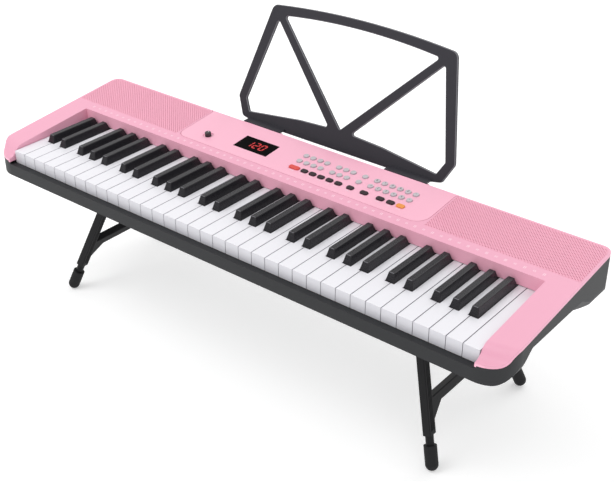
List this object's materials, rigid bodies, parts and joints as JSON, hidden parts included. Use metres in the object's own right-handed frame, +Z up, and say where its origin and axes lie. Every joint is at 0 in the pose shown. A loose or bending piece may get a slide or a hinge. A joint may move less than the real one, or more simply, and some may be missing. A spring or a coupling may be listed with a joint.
{
  "type": "toy electronic keyboard",
  "caption": "Pink portable electronic keyboard with full-size keys, control panel, lift-out music rest and folding H-shaped leg frames.",
  "frame": {"origin": "on the floor, below the middle of the object's bounding box", "axes": "+X along the keys from low notes to high, +Y to the back, +Z up"},
  "size_m": [0.927, 0.3506, 0.4534],
  "materials": {
    "pink": "satin moulded",
    "pink_panel": "smooth satin",
    "charcoal": "fine textured",
    "leg_plastic": "fine textured",
    "rest_plastic": "fine textured",
    "white_key": "glossy",
    "black_key": "glossy",
    "grey_button": "satin",
    "dark_button": "satin",
    "red_button": "satin",
    "orange_button": "satin",
    "display_lens": "polished",
    "display_red": "lit segments behind a dark filter",
    "knob_plastic": "satin",
    "foot_rubber": "matte",
    "mat_rubber": "matte",
    "felt": "pressed felt",
    "circuit_board": "solder mask",
    "frame_plastic": "plain",
    "speaker_metal": "black",
    "jack_plastic": "plain",
    "steel": "plain",
    "spring_steel": "nickel plated"
  },
  "bodies": {
    "case": {"upper_case": "pink", "control_panel": "pink_panel", "left_speaker_grille": "pink", "right_speaker_grille": "pink", "lower_case": "charcoal", "hinge_brackets": "leg_plastic", "hinge_pins": "steel", "case_feet": "foot_rubber", "case_screws": "steel", "display_window": "display_lens", "display_module": "display_red", "encoder_body": "jack_plastic", "panel_board": "circuit_board", "button_mat": "mat_rubber", "key_frame": "frame_plastic", "key_contact_board": "circuit_board", "key_contact_strip": "mat_rubber", "key_stop_felt": "felt", "left_speaker": "speaker_metal", "right_speaker": "speaker_metal", "main_board": "circuit_board", "power_jack": "jack_plastic", "headphone_jack": "jack_plastic", "battery_contacts": "spring_steel"},
    "top_c_key": {"top_c_key": "white_key"},
    "white_keys_ceg_1": {"white_keys_ceg_1": "white_key"},
    "white_keys_dfa_1": {"white_keys_dfa_1": "white_key"},
    "black_keys_1": {"black_keys_1": "black_key"},
    "white_keys_ceg_2": {"white_keys_ceg_2": "white_key"},
    "white_keys_dfa_2": {"white_keys_dfa_2": "white_key"},
    "black_keys_2": {"black_keys_2": "black_key"},
    "white_keys_ceg_3": {"white_keys_ceg_3": "white_key"},
    "white_keys_dfa_3": {"white_keys_dfa_3": "white_key"},
    "black_keys_3": {"black_keys_3": "black_key"},
    "white_keys_ceg_4": {"white_keys_ceg_4": "white_key"},
    "white_keys_dfa_4": {"white_keys_dfa_4": "white_key"},
    "black_keys_4": {"black_keys_4": "black_key"},
    "white_keys_ceg_5": {"white_keys_ceg_5": "white_key"},
    "white_keys_dfa_5": {"white_keys_dfa_5": "white_key"},
    "black_keys_5": {"black_keys_5": "black_key"},
    "grey_buttons_left": {"grey_buttons_left": "grey_button"},
    "grey_buttons_middle": {"grey_buttons_middle": "grey_button"},
    "grey_buttons_pair": {"grey_buttons_pair": "grey_button"},
    "number_buttons": {"number_buttons": "grey_button"},
    "red_button": {"red_button": "red_button"},
    "dark_button_row": {"dark_button_row": "dark_button"},
    "dark_button_centre": {"dark_button_centre": "dark_button"},
    "dark_button_right": {"dark_button_right": "dark_button"},
    "dark_button_pair": {"dark_button_pair": "dark_button"},
    "orange_button": {"orange_button": "orange_button"},
    "volume_knob": {"volume_knob": "knob_plastic", "encoder_shaft": "steel"},
    "music_rest": {"music_rest": "rest_plastic"},
    "left_leg": {"left_leg_frame": "leg_plastic", "left_leg_feet": "foot_rubber"},
    "right_leg": {"right_leg_frame": "leg_plastic", "right_leg_feet": "foot_rubber"},
    "battery_cover": {"battery_cover": "charcoal"}
  },
  "joints": [
    {"name": "top_c_key_tip", "type": "hinge", "parent": "case", "child": "top_c_key", "pos_m": [0, 0.00669, 0.2354], "axis": [1, 0, 0], "range_deg": [0, 2.6], "stiffness_Nm_per_rad": 3.2, "springref_deg": -1.5},
    {"name": "white_keys_ceg_1_tip", "type": "hinge", "parent": "case", "child": "white_keys_ceg_1", "pos_m": [0, 0.00669, 0.2354], "axis": [1, 0, 0], "range_deg": [0, 2.6], "stiffness_Nm_per_rad": 14, "springref_deg": -1.5},
    {"name": "white_keys_dfa_1_tip", "type": "hinge", "parent": "case", "child": "white_keys_dfa_1", "pos_m": [0, 0.00669, 0.2354], "axis": [1, 0, 0], "range_deg": [0, 2.6], "stiffness_Nm_per_rad": 14, "springref_deg": -1.5},
    {"name": "black_keys_1_tip", "type": "hinge", "parent": "case", "child": "black_keys_1", "pos_m": [0, 0.00669, 0.2354], "axis": [1, 0, 0], "range_deg": [0, 2.6], "stiffness_Nm_per_rad": 14, "springref_deg": -1.5},
    {"name": "white_keys_ceg_2_tip", "type": "hinge", "parent": "case", "child": "white_keys_ceg_2", "pos_m": [0, 0.00669, 0.2354], "axis": [1, 0, 0], "range_deg": [0, 2.6], "stiffness_Nm_per_rad": 14, "springref_deg": -1.5},
    {"name": "white_keys_dfa_2_tip", "type": "hinge", "parent": "case", "child": "white_keys_dfa_2", "pos_m": [0, 0.00669, 0.2354], "axis": [1, 0, 0], "range_deg": [0, 2.6], "stiffness_Nm_per_rad": 14, "springref_deg": -1.5},
    {"name": "black_keys_2_tip", "type": "hinge", "parent": "case", "child": "black_keys_2", "pos_m": [0, 0.00669, 0.2354], "axis": [1, 0, 0], "range_deg": [0, 2.6], "stiffness_Nm_per_rad": 14, "springref_deg": -1.5},
    {"name": "white_keys_ceg_3_tip", "type": "hinge", "parent": "case", "child": "white_keys_ceg_3", "pos_m": [0, 0.00669, 0.2354], "axis": [1, 0, 0], "range_deg": [0, 2.6], "stiffness_Nm_per_rad": 14, "springref_deg": -1.5},
    {"name": "white_keys_dfa_3_tip", "type": "hinge", "parent": "case", "child": "white_keys_dfa_3", "pos_m": [0, 0.00669, 0.2354], "axis": [1, 0, 0], "range_deg": [0, 2.6], "stiffness_Nm_per_rad": 14, "springref_deg": -1.5},
    {"name": "black_keys_3_tip", "type": "hinge", "parent": "case", "child": "black_keys_3", "pos_m": [0, 0.00669, 0.2354], "axis": [1, 0, 0], "range_deg": [0, 2.6], "stiffness_Nm_per_rad": 14, "springref_deg": -1.5},
    {"name": "white_keys_ceg_4_tip", "type": "hinge", "parent": "case", "child": "white_keys_ceg_4", "pos_m": [0, 0.00669, 0.2354], "axis": [1, 0, 0], "range_deg": [0, 2.6], "stiffness_Nm_per_rad": 14, "springref_deg": -1.5},
    {"name": "white_keys_dfa_4_tip", "type": "hinge", "parent": "case", "child": "white_keys_dfa_4", "pos_m": [0, 0.00669, 0.2354], "axis": [1, 0, 0], "range_deg": [0, 2.6], "stiffness_Nm_per_rad": 14, "springref_deg": -1.5},
    {"name": "black_keys_4_tip", "type": "hinge", "parent": "case", "child": "black_keys_4", "pos_m": [0, 0.00669, 0.2354], "axis": [1, 0, 0], "range_deg": [0, 2.6], "stiffness_Nm_per_rad": 14, "springref_deg": -1.5},
    {"name": "white_keys_ceg_5_tip", "type": "hinge", "parent": "case", "child": "white_keys_ceg_5", "pos_m": [0, 0.00669, 0.2354], "axis": [1, 0, 0], "range_deg": [0, 2.6], "stiffness_Nm_per_rad": 14, "springref_deg": -1.5},
    {"name": "white_keys_dfa_5_tip", "type": "hinge", "parent": "case", "child": "white_keys_dfa_5", "pos_m": [0, 0.00669, 0.2354], "axis": [1, 0, 0], "range_deg": [0, 2.6], "stiffness_Nm_per_rad": 14, "springref_deg": -1.5},
    {"name": "black_keys_5_tip", "type": "hinge", "parent": "case", "child": "black_keys_5", "pos_m": [0, 0.00669, 0.2354], "axis": [1, 0, 0], "range_deg": [0, 2.6], "stiffness_Nm_per_rad": 14, "springref_deg": -1.5},
    {"name": "grey_buttons_left_press", "type": "slide", "parent": "case", "child": "grey_buttons_left", "axis": [0, 0.1044, -0.9945], "range_m": [0, 0.001], "stiffness_N_per_m": 400, "springref_m": -0.0008},
    {"name": "grey_buttons_middle_press", "type": "slide", "parent": "case", "child": "grey_buttons_middle", "axis": [0, 0.1044, -0.9945], "range_m": [0, 0.001], "stiffness_N_per_m": 400, "springref_m": -0.0008},
    {"name": "grey_buttons_pair_press", "type": "slide", "parent": "case", "child": "grey_buttons_pair", "axis": [0, 0.1044, -0.9945], "range_m": [0, 0.001], "stiffness_N_per_m": 400, "springref_m": -0.0008},
    {"name": "number_buttons_press", "type": "slide", "parent": "case", "child": "number_buttons", "axis": [0, 0.1044, -0.9945], "range_m": [0, 0.001], "stiffness_N_per_m": 400, "springref_m": -0.0008},
    {"name": "red_button_press", "type": "slide", "parent": "case", "child": "red_button", "axis": [0, 0.1044, -0.9945], "range_m": [0, 0.001], "stiffness_N_per_m": 400, "springref_m": -0.0008},
    {"name": "dark_button_row_press", "type": "slide", "parent": "case", "child": "dark_button_row", "axis": [0, 0.1044, -0.9945], "range_m": [0, 0.001], "stiffness_N_per_m": 400, "springref_m": -0.0008},
    {"name": "dark_button_centre_press", "type": "slide", "parent": "case", "child": "dark_button_centre", "axis": [0, 0.1044, -0.9945], "range_m": [0, 0.001], "stiffness_N_per_m": 400, "springref_m": -0.0008},
    {"name": "dark_button_right_press", "type": "slide", "parent": "case", "child": "dark_button_right", "axis": [0, 0.1044, -0.9945], "range_m": [0, 0.001], "stiffness_N_per_m": 400, "springref_m": -0.0008},
    {"name": "dark_button_pair_press", "type": "slide", "parent": "case", "child": "dark_button_pair", "axis": [0, 0.1044, -0.9945], "range_m": [0, 0.001], "stiffness_N_per_m": 400, "springref_m": -0.0008},
    {"name": "orange_button_press", "type": "slide", "parent": "case", "child": "orange_button", "axis": [0, 0.1044, -0.9945], "range_m": [0, 0.001], "stiffness_N_per_m": 400, "springref_m": -0.0008},
    {"name": "volume_turn", "type": "hinge", "parent": "case", "child": "volume_knob", "pos_m": [-0.1875, 0.02969, 0.26546], "axis": [0, -0.1044, 0.9945], "range_deg": [-150, 150]},
    {"name": "music_rest_lift", "type": "slide", "parent": "case", "child": "music_rest", "axis": [0, 0, 1], "range_m": [0, 0.06]},
    {"name": "left_leg_fold", "type": "hinge", "parent": "case", "child": "left_leg", "pos_m": [-0.2876, -0.01831, 0.1924], "axis": [0, -1, 0], "range_deg": [0, 109.5]},
    {"name": "right_leg_fold", "type": "hinge", "parent": "case", "child": "right_leg", "pos_m": [0.2876, -0.01831, 0.1924], "axis": [0, 1, 0], "range_deg": [0, 109.5]},
    {"name": "battery_cover_remove", "type": "slide", "parent": "case", "child": "battery_cover", "axis": [0, 0, -1], "range_m": [0, 0.04]}
  ]
}
